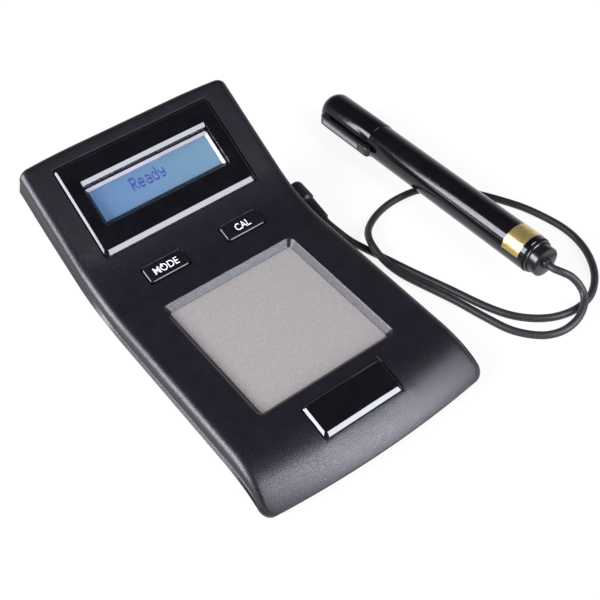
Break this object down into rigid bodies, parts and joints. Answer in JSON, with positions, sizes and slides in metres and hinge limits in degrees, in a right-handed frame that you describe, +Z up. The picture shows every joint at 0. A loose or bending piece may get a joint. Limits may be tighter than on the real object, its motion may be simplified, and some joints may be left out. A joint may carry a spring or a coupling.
{
  "type": "electronic gold tester",
  "caption": "Counter-top electronic gold tester: wave-shaped case with a tilted display, keys and a sunken test plate, and a corded probe pen with a pull-off cap.",
  "frame": {"origin": "on the table, under the middle of the box round the housing and the pen", "axes": "+X from the housing towards the pen, +Y from the nose towards the display end, +Z up"},
  "size_m": [0.2037, 0.1923, 0.0536],
  "materials": {
    "case_black": "fine moulded texture",
    "battery_skin": "printed can, bare of print",
    "snap_black": "soft moulding",
    "rubber_black": "matt",
    "steel_screw": "zinc plated",
    "panel_black": "polished",
    "lens_clear": "clear window",
    "frame_black": "black lacquer",
    "lcd_blue": "display glass",
    "board_green": "solder mask",
    "key_black": "satin",
    "plunger_grey": "moulded",
    "switch_dark": "moulded",
    "plate_metal": "rubbed, mottled",
    "contact_brass": "plated",
    "badge_black": "polished, bare",
    "chip_black": "moulded",
    "wire_skin": "insulation",
    "socket_black": "moulded",
    "pin_metal": "nickel plated",
    "plug_black": "satin moulding",
    "cord_black": "satin sheath",
    "pen_black": "polished",
    "label_gold": "foil, bare",
    "tail_grey": "satin",
    "clip_black": "polished",
    "nib_white": "felt",
    "cartridge_clear": "moulded"
  },
  "bodies": {
    "housing": {"top_shell": "case_black", "bottom_shell": "case_black", "battery": "battery_skin", "battery_snap": "snap_black", "rubber_feet": "rubber_black", "housing_screws": "steel_screw", "display_panel": "panel_black", "display_lens": "lens_clear", "lcd_frame": "frame_black", "lcd_glass": "lcd_blue", "lcd_board": "board_green", "key_switches": "switch_dark", "key_board": "board_green", "test_plate": "plate_metal", "plate_contact": "contact_brass", "badge_plate": "badge_black", "main_board": "board_green", "board_chips": "chip_black", "board_screws": "steel_screw", "wire_loom": "wire_skin", "probe_socket": "socket_black"},
    "door": {"battery_door": "case_black"},
    "mode": {"mode_key": "key_black", "mode_plunger": "plunger_grey"},
    "cal": {"cal_key": "key_black", "cal_plunger": "plunger_grey"},
    "probe": {"plug_pin": "pin_metal", "plug_body": "plug_black", "plug_relief": "plug_black", "probe_cord": "cord_black", "pen_barrel": "pen_black", "pen_label": "label_gold", "pen_collar": "tail_grey", "pen_tail_plug": "tail_grey", "pen_grommet": "rubber_black", "pen_nib_holder": "tail_grey", "pen_nib": "nib_white", "pen_cartridge": "cartridge_clear"},
    "cap": {"pen_cap": "pen_black", "pen_clip": "clip_black"}
  },
  "joints": [
    {"name": "mode_press", "type": "slide", "parent": "housing", "child": "mode", "axis": [0, 0.2592, -0.9658], "range_m": [0, 0.0007], "stiffness_N_per_m": 400, "springref_m": -0.0002},
    {"name": "cal_press", "type": "slide", "parent": "housing", "child": "cal", "axis": [0, 0.2592, -0.9658], "range_m": [0, 0.0007], "stiffness_N_per_m": 400, "springref_m": -0.0002},
    {"name": "battery_door_slide", "type": "slide", "parent": "housing", "child": "door", "axis": [0, 1, 0], "range_m": [0, 0.04]},
    {"name": "probe_unplug", "type": "slide", "parent": "housing", "child": "probe", "axis": [1, 0, 0], "range_m": [0, 0.016]},
    {"name": "pen_cap_pull", "type": "slide", "parent": "probe", "child": "cap", "axis": [0.0129, 0.9989, -0.0446], "range_m": [0, 0.045]}
  ]
}
